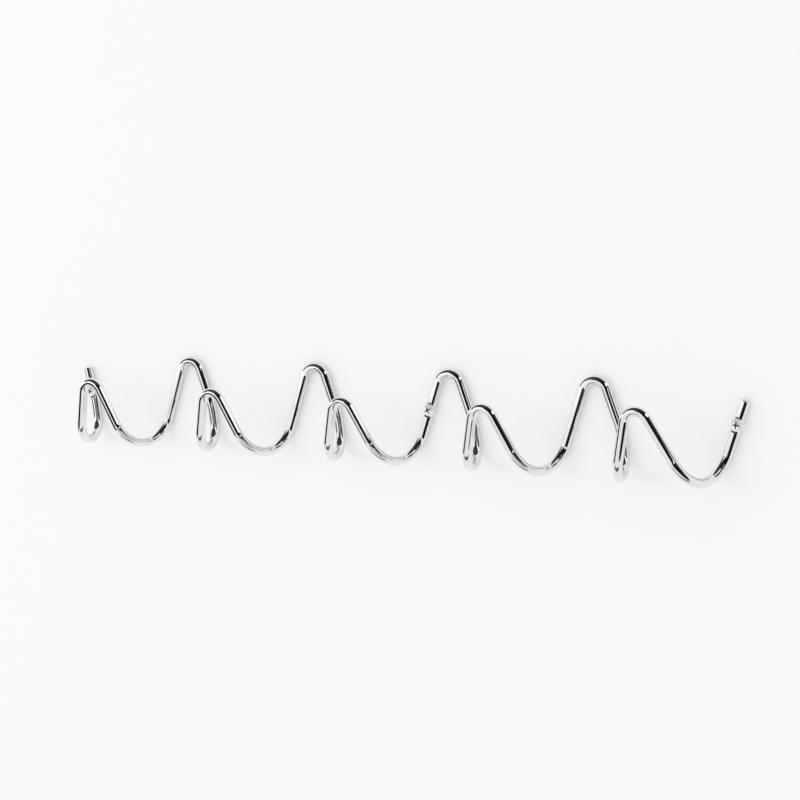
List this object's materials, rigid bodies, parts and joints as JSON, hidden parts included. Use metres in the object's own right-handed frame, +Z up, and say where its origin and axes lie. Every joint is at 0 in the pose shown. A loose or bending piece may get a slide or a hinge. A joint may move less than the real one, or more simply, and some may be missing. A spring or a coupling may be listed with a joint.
{
  "type": "wall hook rail",
  "caption": "Wall-mounted coat hook rail bent from one chromed round rod into a wave of open hooks, fixed by cross-recessed screws through the rod.",
  "frame": {"origin": "where the axis of the middle screw meets the wall", "axes": "+X along the wall to the right as seen from the room, +Y into the wall along the screws, +Z up; the wall is the plane y = 0"},
  "size_m": [0.6566, 0.0962, 0.0819],
  "materials": {
    "chromed_rod": "polished chrome plate on steel rod",
    "screw_plating": "bright nickel plate on steel screw, darker in the recess"
  },
  "bodies": {
    "root": {"rail": "chromed_rod", "screw_left": "screw_plating", "screw_middle": "screw_plating", "screw_right": "screw_plating"}
  },
  "joints": []
}
